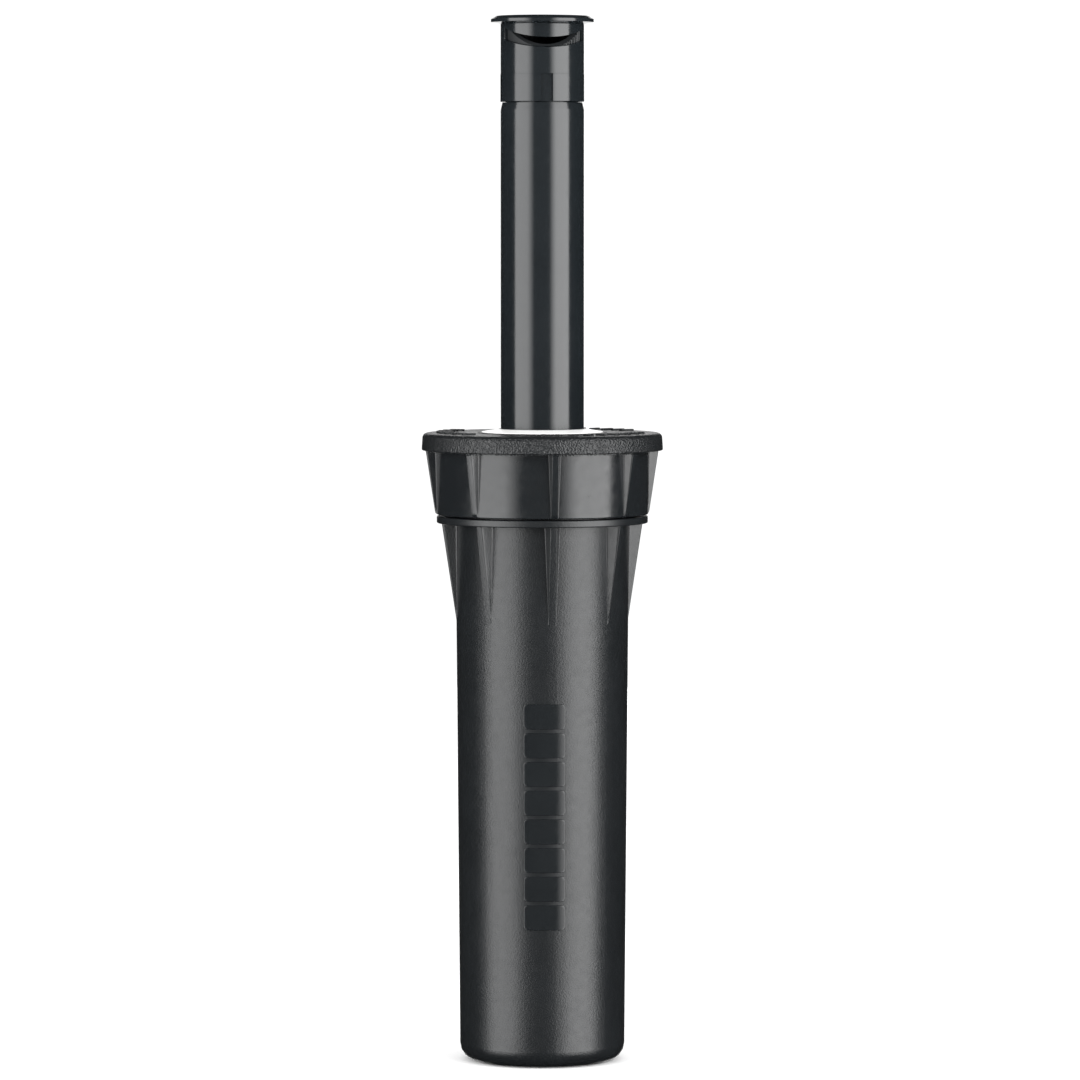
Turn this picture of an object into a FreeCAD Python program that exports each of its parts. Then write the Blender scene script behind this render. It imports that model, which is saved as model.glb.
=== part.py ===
import FreeCAD, Part
import math
import os

# Pop-up spray sprinkler, drawn popped up, as water pressure holds it.
# Millimetres, +Z up, origin at the centre of the housing's flat base. The front is -Y.
#
# Two chains of sizes run through the whole object, so that a changed size moves what fits to it:
#   outwards from the riser: riser, spring, ratchet ring, housing bore, housing wall, cap thread, cap;
#   upwards from the base: inlet, check seal, riser foot, ratchet ring, spring, seal, cap, riser, plug.

V = FreeCAD.Vector
UP = V(0, 0, 1)
FRONT = -90.0  # the direction of -Y, in degrees from +X

# ---- motion and clearances ----
stroke = 95.2  # travel of the riser
slide_gap = 0.3  # between pieces that pass without touching
run_gap = 0.06  # riser in its guide ring
seat_gap = 0.15  # left between two seats at the end of a travel
joint_gap = 0.02  # between pieces that are clamped or pressed together
thread_gap = 0.15  # crest of one thread to the root of the other
flank_gap = 0.1  # between the loaded flanks

# ---- riser ----
riser_r = 9.85
riser_wall = 1.7
riser_shoulder_chamfer = 0.4
riser_shoulder_chamfer_height = 1.7
neck_height = 9.0
neck_wall = 1.05
neck_taper_height = 3.0  # inside, where the wide bore meets the neck's bore

# ---- plug thread, on the riser's neck ----
plug_skirt_wall = 1.3
plug_thread_depth = 0.45
plug_thread_pitch = 1.8
plug_thread_base = 0.8
plug_thread_crest = 0.4
plug_thread_margin = 0.32  # plain neck left above the thread

# ---- flush plug ----
plug_skirt_height = 18.3
plug_flange_overhang = 2.3
plug_flange_rise = 0.4  # of the flange's underside, from the skirt to the rim
plug_flange_edge = 0.75
plug_bevel = 1.1
plug_bevel_height = 0.75
plug_top_plate = 1.2
plug_recess_wall = 3.4  # from the bevel in to the recess
plug_recess_depth = 1.0
plug_bar_width = 2.4
plug_cavity_wall = 1.8
plug_seat_height = 1.2  # of the inner lip that presses on the filter's flange
plug_band_height = 6.5
plug_band_step = 0.04
plug_slot_width = 2.85
plug_slot_depth = 0.5
window_half_angle = 72.0
window_roof_drop = -0.18  # below the flange's root, measured on the axis: negative is above it
window_roof_slope = 0.35
window_lip_drop = 2.88
window_lip_slope = 0.28
window_chute_rise = 1.86  # the chute's plane meets the axis this far above the flange's root
window_chute_slope = 0.843
window_floor_drop = 5.38
window_ledge = 0.9  # outer wall that the lip is cut down in
window_ribs = 9  # half round, on the ledge's wall beside the front
window_rib_r = 0.24

# ---- filter ----
filter_flange = 1.0
filter_length = 46.0
filter_gap = 0.3
filter_wall = 0.55
filter_mesh_wall = 0.25
filter_top_ring = 4.5
filter_end = 2.2
filter_bars = 4
filter_bar_width = 1.3
filter_hoop = 0.9
filter_hoops = 2

# ---- riser foot, check seal and retainer ----
foot_flange_thickness = 2.4
foot_spigot_height = 6.0
foot_spigot_wall = 1.25
seal_thickness = 2.2
retainer_wall = 1.2
retainer_lip = 2.6
retainer_lip_thickness = 1.2
retainer_height = 8.0
seal_hole_gap = 0.3

# ---- ratchet ----
ratchet_height = 6.2
ratchet_teeth = 24
tooth_height = 0.6
tooth_width = 2.0
tooth_inset = 0.8

# ---- spring ----
wire = 1.3
spring_turns = 12
spring_coil_gap = 0.06
spring_inner_gap = 0.9

# ---- housing ----
annulus = 7.55  # riser to the housing's bore, at the base
housing_wall = 2.1
housing_draft = 0.0082  # radius gained per millimetre of height
base_round = 4.0
floor_thickness = 3.0
inlet_r = 10.6
inlet_wall = 2.6
inlet_length = 15.5
inlet_chamfer = 0.9
inlet_webs = 8
inlet_web_thickness = 1.8
inlet_web_step = 3.0  # the webs stop this far below the inlet's seat
guide_ribs = 4
guide_rib_width = 1.8
guide_rib_height = 1.0
guide_rib_from_neck = 1.0
neck_step = 1.71  # ring face to the root of the cap thread
neck_bore_step = 1.4
neck_chamfer_height = 2.5
collar_height = 1.7
collar_inset = 0.12  # inside the cap's skirt, so that the cap can be gripped
collar_to_top = 19.6  # top of the collar to the top of the cap

# ---- ribs ----
ribs = 8
rib_draft = 0.24  # widening of a rib per millimetre of its height, on each side
rib_sink = 0.6
rib_round = 0.22
housing_rib_width = 1.65
housing_rib_height = 3.4
housing_rib_length = 23.2
cap_rib_width = 1.55
cap_rib_height = 2.4
cap_rib_end_height = 0.3

# ---- cap ----
cap_thread_depth = 0.9
cap_thread_pitch = 3.0
cap_thread_base = 1.3
cap_thread_crest = 0.7
cap_thread_plain = 7.0  # of the neck's height, shared by its foot and its mouth
cap_thread_gap = 0.3
skirt_wall = 1.65
skirt_flare = 0.25
skirt_foot_gap = 0.35
rim_overhang = 3.2
rim_height = 4.1
rim_taper = 0.25
rim_round = 1.2
plate_thickness = 2.3
seal_pocket_wall = 1.35
seal_pocket_drop = 0.75
collar_lip = 0.9
collar_lip_height = 0.15
small_round = 0.3

# ---- guide ring, wiper seal, spring seat and gasket ----
guide_width = 4.5
guide_below_top = 3.1
guide_edge = 0.3  # of the ring's outer edge above the cap
guide_rise = 0.65
guide_lead = 0.45
wiper_flange = 1.6
wiper_width = 3.1
wiper_lip_rise = 1.75
wiper_lip_gap = 0.06
wiper_waist = 0.3
spring_seat_thickness = 1.4
spring_seat_lip = 1.25
spring_seat_lip_width = 1.0
gasket_thickness = 0.8

# ---- raised marks: plain bars only ----
tick_height = 0.45
tick_width = 1.1
tick_length = 3.6
tick_edge_gap = 2.0  # from the rim's rounded edge
tick_step = 9.0
tick_arcs = ((FRONT + 30.0, 9), (FRONT + 150.0, 9), (FRONT - 90.0, 9))
bar_count = 8
bar_height = 5.85
bar_pitch = 6.75
bar_width = 9.5
bar_rise = 0.25
bar_corner = 0.7
bar_angle = FRONT - 5.0
bar_start = 32.9

# ---- sizes that follow, outwards ----
riser_bore_r = riser_r - riser_wall
plug_root_r = riser_r - plug_skirt_wall
plug_crest_r = plug_root_r - plug_thread_depth
neck_r = plug_crest_r - thread_gap
plug_thread_turns = (neck_height - plug_thread_pitch - plug_thread_base / 2 - plug_thread_margin) / plug_thread_pitch
neck_bore_r = neck_r - neck_wall
spring_r = riser_r + spring_inner_gap + wire / 2
bore_r = riser_r + annulus
base_r = bore_r + housing_wall
guide_rib_r = bore_r - guide_rib_height
foot_r = guide_rib_r - guide_rib_height
ratchet_r = bore_r - slide_gap
guide_r = riser_r + guide_width

# ---- sizes that follow, upwards ----
seal_z = inlet_length + seat_gap + stroke
foot_z = seal_z + seal_thickness
foot_top_z = foot_z + foot_flange_thickness
ratchet_z = foot_top_z + 2 * tooth_height + seat_gap
ratchet_top_z = ratchet_z + ratchet_height
spring_pitch = wire + spring_coil_gap
spring_height = spring_turns * spring_pitch + wire
spring_seat_z = ratchet_top_z + spring_height + 2 * joint_gap
wiper_z = spring_seat_z + spring_seat_thickness + joint_gap
wiper_top_z = wiper_z + wiper_flange
guide_z = wiper_z + wiper_flange + wiper_lip_rise + slide_gap
cap_top_z = guide_z + guide_below_top
collar_top_z = cap_top_z - collar_to_top
collar_z = collar_top_z - collar_height
guide_top_z = cap_top_z + guide_edge + guide_rise
plug_flange_z = guide_top_z + seat_gap + stroke
plug_z = plug_flange_z - plug_skirt_height
shoulder_z = plug_z - seat_gap
neck_top_z = shoulder_z + neck_height
filter_z = neck_top_z + joint_gap
plug_cavity_z = filter_z + filter_flange + joint_gap

# ---- sizes that follow at the neck and the cap ----
neck_root_r = base_r + housing_draft * collar_z + neck_step
neck_crest_r = neck_root_r + cap_thread_depth
skirt_root_r = neck_crest_r + cap_thread_gap
skirt_r = skirt_root_r + skirt_wall
rim_r = skirt_r + skirt_flare + rim_overhang
rim_z = cap_top_z - rim_height
plate_z = cap_top_z - plate_thickness
neck_mouth_z = plate_z - gasket_thickness
cap_thread_turns = (neck_mouth_z - collar_top_z - cap_thread_plain) / cap_thread_pitch
neck_mouth_r = bore_r + housing_draft * collar_z + neck_bore_step
pocket_r = bore_r + joint_gap
pocket_z = spring_seat_z - seal_pocket_drop
skirt_z = collar_top_z + skirt_foot_gap
wiper_hole_r = riser_r + wiper_width - slide_gap


# ---- drawing helpers ----
def outline(points):
    """Closed wire in the XZ plane through (r, z) or (r, z, corner radius) points."""
    count = len(points)
    corners = [V(p[0], 0, p[1]) for p in points]
    leave = []
    edges = []
    for i, point in enumerate(points):
        corner = corners[i]
        radius = point[2] if len(point) > 2 else 0.0
        if radius == 0.0:
            leave.append((corner, corner, None))
            continue
        back = (corners[i - 1] - corner).normalize()
        ahead = (corners[(i + 1) % count] - corner).normalize()
        half = math.acos(max(-1.0, min(1.0, back.dot(ahead)))) / 2
        along = radius / math.tan(half)
        bisector = (back + ahead).normalize()
        centre = corner + bisector * (radius / math.sin(half))
        leave.append((corner + back * along, corner + ahead * along, centre - bisector * radius))
    for i, (start, end, middle) in enumerate(leave):
        if middle is not None:
            edges.append(Part.Arc(start, middle, end).toShape())
        following = leave[(i + 1) % count][0]
        if (following - end).Length > 1e-6:
            edges.append(Part.makeLine(end, following))
    return Part.Wire(edges)


def turned(points):
    """Solid of revolution about Z, from a closed outline of (r, z) points."""
    return Part.Face(outline(points)).revolve(V(0, 0, 0), UP, 360)


def tube(inner, outer, low, high, corner=0.0):
    """Plain ring with a rectangular section."""
    return turned([(inner, low, corner), (outer, low, corner), (outer, high, corner), (inner, high, corner)])


def box_at(radius, depth, width, low, high, angle):
    """Box whose inner face is at a radius from the axis, in the direction of an angle."""
    box = Part.makeBox(depth, width, high - low, V(radius, -width / 2, low))
    return spun(box, angle)


def fin(points, width, angle):
    """Plate that stands in a radial plane, from its (r, z) outline."""
    face = Part.Face(Part.makePolygon([V(r, -width / 2, z) for r, z in points + points[:1]]))
    return spun(face.extrude(V(0, width, 0)), angle)


def spun(shape, angle):
    """The shape turned about Z."""
    copy = shape.copy()
    copy.rotate(V(0, 0, 0), UP, angle)
    return copy


def around(shape, count, start=FRONT):
    """Copies of a shape that points along +X, spaced evenly about Z."""
    return [spun(shape, start + 360.0 * i / count) for i in range(count)]


def fused(base, tools):
    """One solid from a base and what is moulded on it."""
    return base.multiFuse(tools).removeSplitter()


def thread(root_r, depth, pitch, turns, base_width, crest_width, start_z):
    """Helical ridge. A positive depth stands outwards from the root, a negative one inwards."""
    sink = -0.15 if depth > 0 else 0.15
    slope = (base_width - crest_width) / 2 / abs(depth)
    foot_half = base_width / 2 + slope * abs(sink)
    section = Part.makePolygon(
        [
            V(root_r + sink, 0, -foot_half),
            V(root_r + depth, 0, -crest_width / 2),
            V(root_r + depth, 0, crest_width / 2),
            V(root_r + sink, 0, foot_half),
            V(root_r + sink, 0, -foot_half),
        ]
    )
    path = Part.Wire(Part.makeHelix(pitch, pitch * turns, root_r))
    ridge = path.makePipeShell([section], True, True)
    ridge.translate(V(0, 0, start_z))
    return ridge


def rib(foot_low, foot_high, low_z, high_z, top_width, height_low, height_high):
    """Gusset that tapers downwards, with drafted sides and rounded outer edges, pointing along +X."""

    def section(foot_r, z, height):
        top = top_width / 2
        foot = top + rib_draft * (height + rib_sink)
        return Part.makePolygon(
            [
                V(foot_r - rib_sink, -foot, z),
                V(foot_r + height, -top, z),
                V(foot_r + height, top, z),
                V(foot_r - rib_sink, foot, z),
                V(foot_r - rib_sink, -foot, z),
            ]
        )

    body = Part.makeLoft(
        [section(foot_low, low_z, height_low), section(foot_high, high_z, height_high)], True, True
    )
    long_edges = [
        e
        for e in body.Edges
        if abs(abs(e.CenterOfMass.y) - top_width / 2) < 1e-4 and e.BoundBox.ZLength > (high_z - low_z) / 2
    ]
    return body.makeFillet(rib_round, long_edges)


def face_tooth(inner, outer, z, height):
    """Radial tooth of a face ratchet, pointing along +X. A negative height points down."""
    sink = -0.1 if height > 0 else 0.1
    section = Part.makePolygon(
        [
            V(inner, -tooth_width / 2, z + sink),
            V(inner, tooth_width / 2, z + sink),
            V(inner, tooth_width / 2, z),
            V(inner, 0, z + height),
            V(inner, -tooth_width / 2, z),
            V(inner, -tooth_width / 2, z + sink),
        ]
    )
    return Part.Face(section).extrude(V(outer - inner, 0, 0))


# ---- pieces, each returned as one shape ----
def housing():
    """Buried body with the threaded inlet, the guide ribs inside and the cap thread on its neck."""
    collar_base_r = base_r + housing_draft * collar_z
    shell = turned(
        [
            (inlet_r + inlet_chamfer, 0),
            (base_r, 0, base_round),
            (collar_base_r, collar_z),
            (skirt_r - collar_inset, collar_z, small_round),
            (skirt_r - collar_inset, collar_top_z, small_round),
            (neck_root_r, collar_top_z),
            (neck_root_r, neck_mouth_z, small_round),
            (neck_mouth_r, neck_mouth_z, small_round),
            (neck_mouth_r, collar_top_z),
            (neck_mouth_r - neck_bore_step, collar_top_z - neck_chamfer_height),
            (bore_r, floor_thickness, small_round),
            (inlet_r + inlet_wall, floor_thickness, small_round),
            (inlet_r + inlet_wall, inlet_length, small_round),
            (inlet_r, inlet_length),
            (inlet_r, inlet_chamfer),
        ]
    )
    web_depth = bore_r - inlet_r - inlet_wall + 2 * rib_sink
    web = box_at(
        inlet_r + inlet_wall - rib_sink,
        web_depth,
        inlet_web_thickness,
        floor_thickness / 2,
        inlet_length - inlet_web_step,
        0,
    )
    guide_top = collar_top_z - neck_chamfer_height - guide_rib_from_neck
    wall_middle = bore_r + housing_wall / 2
    guide = fin(
        [
            (guide_rib_r, floor_thickness / 2),
            (wall_middle, floor_thickness / 2),
            (wall_middle + housing_draft * guide_top, guide_top),
            (guide_rib_r, guide_top),
        ],
        guide_rib_width,
        0,
    )
    rib_low_z = collar_z - housing_rib_length
    outer_rib = rib(
        base_r + housing_draft * rib_low_z,
        collar_base_r,
        rib_low_z,
        collar_z + rib_sink,
        housing_rib_width,
        0.0,
        housing_rib_height,
    )
    parts = around(web, inlet_webs) + around(guide, guide_ribs, FRONT + 45) + around(outer_rib, ribs)
    parts.append(
        thread(
            neck_root_r,
            cap_thread_depth,
            cap_thread_pitch,
            cap_thread_turns,
            cap_thread_base,
            cap_thread_crest,
            cap_thread_z(),
        )
    )
    return fused(shell, parts + marking_bars())


def cap_thread_z():
    """Where the centre of the housing's thread starts, so that it ends below the neck's mouth."""
    return neck_mouth_z - cap_thread_base - cap_thread_turns * cap_thread_pitch


def marking_bars():
    """Plain raised bars up the front of the housing, curved with its wall."""
    bars = []
    for i in range(bar_count):
        low = bar_start + i * bar_pitch
        block = Part.makeBox(base_r, bar_width, bar_height, V(base_r / 2, -bar_width / 2, low))
        block = block.makeFillet(bar_corner, [e for e in block.Edges if e.BoundBox.XLength > base_r / 2])
        skin = turned(
            [
                (base_r - housing_wall / 2 + housing_draft * low, low),
                (base_r + bar_rise + housing_draft * low, low, bar_rise / 2),
                (base_r + bar_rise + housing_draft * (low + bar_height), low + bar_height, bar_rise / 2),
                (base_r - housing_wall / 2 + housing_draft * (low + bar_height), low + bar_height),
            ]
        )
        bars.append(spun(skin.common(block), bar_angle))
    return bars


def cap():
    """Screw cap: rim, ribbed skirt with its inner thread, and the pocket that holds the seal."""
    shell = turned(
        [
            (guide_r + joint_gap, cap_top_z + collar_lip_height, small_round / 3),
            (guide_r + joint_gap, guide_z - joint_gap),
            (wiper_hole_r, guide_z - joint_gap),
            (wiper_hole_r, wiper_top_z + joint_gap),
            (pocket_r, wiper_top_z + joint_gap),
            (pocket_r, pocket_z, small_round),
            (pocket_r + seal_pocket_wall, pocket_z, small_round),
            (pocket_r + seal_pocket_wall, plate_z, small_round),
            (skirt_root_r, plate_z, small_round),
            (skirt_root_r, skirt_z, small_round),
            (skirt_r, skirt_z, small_round),
            (skirt_r + skirt_flare, rim_z),
            (rim_r, rim_z, small_round),
            (rim_r - rim_taper, cap_top_z, rim_round),
            (guide_r + joint_gap + collar_lip, cap_top_z),
            (guide_r + joint_gap + collar_lip, cap_top_z + collar_lip_height, small_round / 3),
        ]
    )
    outer_rib = rib(
        skirt_r,
        skirt_r + skirt_flare,
        skirt_z + small_round,
        rim_z + rib_sink,
        cap_rib_width,
        cap_rib_end_height,
        cap_rib_height,
    )
    mate_drop = (cap_thread_base + cap_thread_crest) / 2 + flank_gap
    inner_thread = thread(
        skirt_root_r,
        -cap_thread_depth,
        cap_thread_pitch,
        cap_thread_turns,
        cap_thread_base,
        cap_thread_crest,
        cap_thread_z() - mate_drop,
    )
    tick_r = rim_r - rim_taper - rim_round - tick_edge_gap
    tick = Part.makeBox(
        tick_length, tick_width, tick_height + rib_sink, V(tick_r - tick_length, -tick_width / 2, cap_top_z - rib_sink)
    )
    tick = tick.makeFillet(tick_height / 3, [e for e in tick.Edges if e.CenterOfMass.z > cap_top_z + tick_height - 1e-4])
    ticks = [
        spun(tick, centre + tick_step * (i - (count - 1) / 2)) for centre, count in tick_arcs for i in range(count)
    ]
    return fused(shell, around(outer_rib, ribs) + ticks + [inner_thread])


def guide_ring():
    """Pale ring in the cap's top that the riser runs in."""
    return turned(
        [
            (riser_r + run_gap, guide_z),
            (guide_r, guide_z, small_round),
            (guide_r, cap_top_z + guide_edge, small_round / 2),
            (riser_r + run_gap + guide_lead, guide_top_z, small_round / 2),
            (riser_r + run_gap, guide_top_z - guide_lead),
        ]
    )


def wiper_seal():
    """Soft seal with a lip above and a cup below, both close to the riser."""
    lip_r = riser_r + wiper_lip_gap
    top = wiper_top_z + wiper_lip_rise
    return turned(
        [
            (lip_r, wiper_z + small_round),
            (lip_r + wiper_waist, wiper_z),
            (pocket_r - joint_gap, wiper_z),
            (pocket_r - joint_gap, wiper_top_z),
            (riser_r + wiper_width - 2 * slide_gap, wiper_top_z),
            (lip_r + 2 * wiper_waist, top, small_round / 2),
            (lip_r, top),
            (lip_r + wiper_waist, top - wiper_lip_rise / 2),
            (lip_r + wiper_waist, wiper_z + wiper_flange / 2),
        ]
    )


def spring_seat():
    """Hard washer between the spring and the seal, with a lip that centres the top coil."""
    lip_r = spring_r + wire / 2 + slide_gap
    return turned(
        [
            (riser_r + 2 * slide_gap, spring_seat_z),
            (lip_r, spring_seat_z),
            (lip_r, spring_seat_z - spring_seat_lip),
            (lip_r + spring_seat_lip_width, spring_seat_z - spring_seat_lip, small_round),
            (lip_r + spring_seat_lip_width, spring_seat_z),
            (pocket_r - joint_gap, spring_seat_z, small_round),
            (pocket_r - joint_gap, spring_seat_z + spring_seat_thickness),
            (riser_r + 2 * slide_gap, spring_seat_z + spring_seat_thickness, small_round),
        ]
    )


def cap_gasket():
    """Flat rubber ring between the housing's mouth and the cap."""
    return tube(
        neck_mouth_r + joint_gap,
        neck_root_r - joint_gap,
        neck_mouth_z + joint_gap,
        plate_z - joint_gap,
        small_round / 2,
    )


def spring():
    """Retract spring, squeezed between the ratchet ring and the spring seat."""
    path = Part.Wire(Part.makeHelix(spring_pitch, spring_pitch * spring_turns, spring_r))
    section = Part.Wire(Part.makeCircle(wire / 2, V(spring_r, 0, 0), V(0, 1, 0)))
    coil = path.makePipeShell([section], True, True)
    coil.translate(V(0, 0, ratchet_top_z + joint_gap + wire / 2))
    return coil


def ratchet_ring():
    """Ring that slides on the housing's guide ribs, with face teeth under it."""
    ring = tube(riser_r + slide_gap, ratchet_r, ratchet_z, ratchet_top_z, small_round)
    notch = box_at(
        guide_rib_r - slide_gap,
        2 * guide_rib_height,
        guide_rib_width + 2 * slide_gap,
        ratchet_z - 1,
        ratchet_top_z + 1,
        0,
    )
    ring = ring.cut(Part.makeCompound(around(notch, guide_ribs, FRONT + 45)))
    tooth = face_tooth(riser_r + tooth_inset, foot_r - tooth_inset, ratchet_z, -tooth_height)
    return fused(ring, around(tooth, ratchet_teeth))


def riser():
    """Tube with a chamfered shoulder and the threaded neck that takes the plug or a nozzle."""
    body = turned(
        [
            (riser_bore_r, foot_top_z + joint_gap),
            (riser_r, foot_top_z + joint_gap, small_round),
            (riser_r, shoulder_z - riser_shoulder_chamfer_height),
            (riser_r - riser_shoulder_chamfer, shoulder_z),
            (neck_r, shoulder_z),
            (neck_r, neck_top_z, small_round),
            (neck_bore_r, neck_top_z),
            (neck_bore_r, shoulder_z - riser_shoulder_chamfer_height),
            (riser_bore_r, shoulder_z - riser_shoulder_chamfer_height - neck_taper_height),
        ]
    )
    neck_thread = thread(
        neck_r,
        plug_thread_depth,
        plug_thread_pitch,
        plug_thread_turns,
        plug_thread_base,
        plug_thread_crest,
        plug_thread_z(),
    )
    return fused(body, [neck_thread])


def plug_thread_z():
    """Where the centre of the riser's thread starts, above the shoulder."""
    return shoulder_z + plug_thread_pitch


def riser_foot():
    """Collar on the riser's lower end: its flange carries the spring's load and the face teeth."""
    bore = riser_bore_r - foot_spigot_wall
    collar = turned(
        [
            (bore, foot_z + joint_gap),
            (foot_r, foot_z + joint_gap, small_round),
            (foot_r, foot_top_z, small_round),
            (riser_bore_r - joint_gap, foot_top_z),
            (riser_bore_r - joint_gap, foot_top_z + foot_spigot_height, small_round),
            (bore, foot_top_z + foot_spigot_height),
        ]
    )
    tooth = face_tooth(riser_r + tooth_inset, foot_r - tooth_inset, foot_top_z, tooth_height)
    return fused(collar, around(tooth, ratchet_teeth, FRONT + 180.0 / ratchet_teeth))


def check_seal():
    """Rubber washer that shuts on the inlet's rim when the riser is down."""
    stem_r = riser_bore_r - foot_spigot_wall - joint_gap
    return tube(stem_r + seal_hole_gap, foot_r - tooth_inset, seal_z, foot_z, small_round)


def seal_retainer():
    """Bush pressed up into the foot, whose lip holds the washer."""
    stem_r = riser_bore_r - foot_spigot_wall - joint_gap
    bore = stem_r - retainer_wall
    lip_top = seal_z - joint_gap
    return turned(
        [
            (bore, lip_top - retainer_lip_thickness, small_round),
            (stem_r + retainer_lip, lip_top - retainer_lip_thickness, small_round),
            (stem_r + retainer_lip, lip_top),
            (stem_r, lip_top),
            (stem_r, lip_top + retainer_height, small_round),
            (bore, lip_top + retainer_height),
        ]
    )


def filter_frame():
    """Basket under the plug: flange, top ring, bars, hoops and closed end."""
    outer = neck_bore_r - filter_gap
    inner = outer - filter_wall
    end_z = filter_z - filter_length
    ring_z = filter_z - filter_top_ring
    frame = turned(
        [
            (inner - filter_mesh_wall, ring_z),
            (outer, ring_z, small_round / 2),
            (outer, filter_z),
            (neck_r - joint_gap, filter_z, small_round / 2),
            (neck_r - joint_gap, filter_z + filter_flange, small_round / 2),
            (inner - filter_mesh_wall, filter_z + filter_flange),
        ]
    )
    end = turned([(0, end_z), (outer, end_z, small_round), (outer, end_z + filter_end), (0, end_z + filter_end)])
    bar = box_at(inner + joint_gap, filter_wall - joint_gap, filter_bar_width, end_z + filter_end / 2, ring_z + 1, 0)
    step = (ring_z - end_z - filter_end) / (filter_hoops + 1)
    hoops = [
        tube(inner + joint_gap, outer, z - filter_hoop / 2, z + filter_hoop / 2)
        for z in [end_z + filter_end + step * (i + 1) for i in range(filter_hoops)]
    ]
    return fused(frame, [end] + hoops + around(bar, filter_bars, FRONT + 45))


def filter_mesh():
    """Fine screen inside the basket, as a plain sleeve."""
    inner = neck_bore_r - filter_gap - filter_wall
    low = filter_z - filter_length + filter_end + joint_gap
    return tube(inner - filter_mesh_wall, inner, low, filter_z - filter_top_ring - joint_gap)


def sector(inner, outer, low, high, half_angle):
    """Part of a ring, centred on the front."""
    slab = Part.makeCylinder(outer, high - low, V(0, 0, low), UP, 2 * half_angle)
    slab = spun(slab, FRONT - half_angle)
    return slab.cut(Part.makeCylinder(inner, high - low, V(0, 0, low)))


def flush_plug():
    """Screwed plug with a flanged head, whose side window throws the flushing water to the front."""
    flange_r = riser_r + plug_flange_overhang
    rim_low = plug_flange_z + plug_flange_rise
    top = rim_low + plug_flange_edge + plug_bevel_height
    recess_r = flange_r - plug_bevel - plug_recess_wall
    recess_z = top - plug_recess_depth
    cavity_r = riser_r - plug_cavity_wall
    seat_r = neck_bore_r + slide_gap / 2
    seat_top_z = plug_cavity_z + plug_seat_height
    band_z = plug_z + plug_band_height
    band_r = riser_r + plug_band_step
    body = turned(
        [
            (plug_root_r, plug_z),
            (band_r, plug_z, small_round / 2),
            (band_r, band_z),
            (riser_r, band_z + plug_band_step),
            (riser_r, plug_flange_z, small_round / 2),
            (flange_r, rim_low, small_round / 3),
            (flange_r, rim_low + plug_flange_edge, small_round / 3),
            (flange_r - plug_bevel, top, small_round),
            (recess_r, top, small_round / 2),
            (recess_r, recess_z),
            (0, recess_z),
            (0, recess_z - plug_top_plate),
            (cavity_r, recess_z - plug_top_plate, small_round),
            (cavity_r, seat_top_z + cavity_r - seat_r),
            (seat_r, seat_top_z),
            (seat_r, plug_cavity_z),
            (plug_root_r, plug_cavity_z),
        ]
    )
    bar = Part.makeBox(
        2 * recess_r + small_round,
        plug_bar_width,
        plug_recess_depth + small_round,
        V(-recess_r - small_round / 2, -plug_bar_width / 2, recess_z - small_round),
    )
    mate_drop = (plug_thread_base + plug_thread_crest) / 2 + flank_gap
    inner_thread = thread(
        plug_root_r,
        -plug_thread_depth,
        plug_thread_pitch,
        plug_thread_turns,
        plug_thread_base,
        plug_thread_crest,
        plug_thread_z() - mate_drop,
    )
    body = fused(body, [bar, inner_thread])
    slot = box_at(riser_r - plug_slot_depth, 1.0, plug_slot_width, plug_z - 1, band_z, 0)
    body = body.cut(Part.makeCompound(around(slot, 4)))
    return window_cut(body, cavity_r)


def window_cut(body, cavity_r):
    """Cuts the side window: a tilted slot through the wall, with a chute that rises inwards."""
    reach = riser_r + 1.0
    ledge_r = riser_r - window_ledge

    def roof(x):
        return plug_flange_z - window_roof_drop - window_roof_slope * x

    def lip(x):
        return plug_flange_z - window_lip_drop - window_lip_slope * x

    def chute(x):
        return plug_flange_z + window_chute_rise - window_chute_slope * x

    low, high = plug_cavity_z, plug_flange_z
    slot = fin([(0, lip(0)), (reach, lip(reach)), (reach, roof(reach)), (0, roof(0))], 2 * reach, FRONT)
    body = body.cut(slot.common(sector(ledge_r, reach, low, high, window_half_angle)))
    rib = Part.makeCylinder(window_rib_r, high - low, V(ledge_r, 0, low))
    ribs = [spun(rib, FRONT + 20.0 + 46.0 * i / (window_ribs - 1)) for i in range(window_ribs)]
    body = body.multiFuse([r.common(slot) for r in ribs])
    floor_z = plug_flange_z - window_floor_drop
    floor_x = (plug_flange_z + window_chute_rise - floor_z) / window_chute_slope
    meet_x = (window_chute_rise + window_roof_drop) / (window_chute_slope - window_roof_slope)
    chute_slot = fin(
        [(meet_x, chute(meet_x)), (floor_x, floor_z), (reach, floor_z), (reach, roof(reach))], 2 * reach, FRONT
    )
    opening = sector(cavity_r - 1, ledge_r + window_rib_r + 0.1, low, high, window_half_angle)
    return body.cut(chute_slot.common(opening)).removeSplitter()


# Node name, the function that makes it, and how many separate solids it holds.
pieces = {
    "housing": housing,
    "cap": cap,
    "guide_ring": guide_ring,
    "wiper_seal": wiper_seal,
    "spring_seat": spring_seat,
    "cap_gasket": cap_gasket,
    "retract_spring": spring,
    "ratchet_ring": ratchet_ring,
    "riser_tube": riser,
    "riser_foot": riser_foot,
    "check_seal": check_seal,
    "seal_retainer": seal_retainer,
    "filter_frame": filter_frame,
    "filter_mesh": filter_mesh,
    "flush_plug": flush_plug,
}

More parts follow.
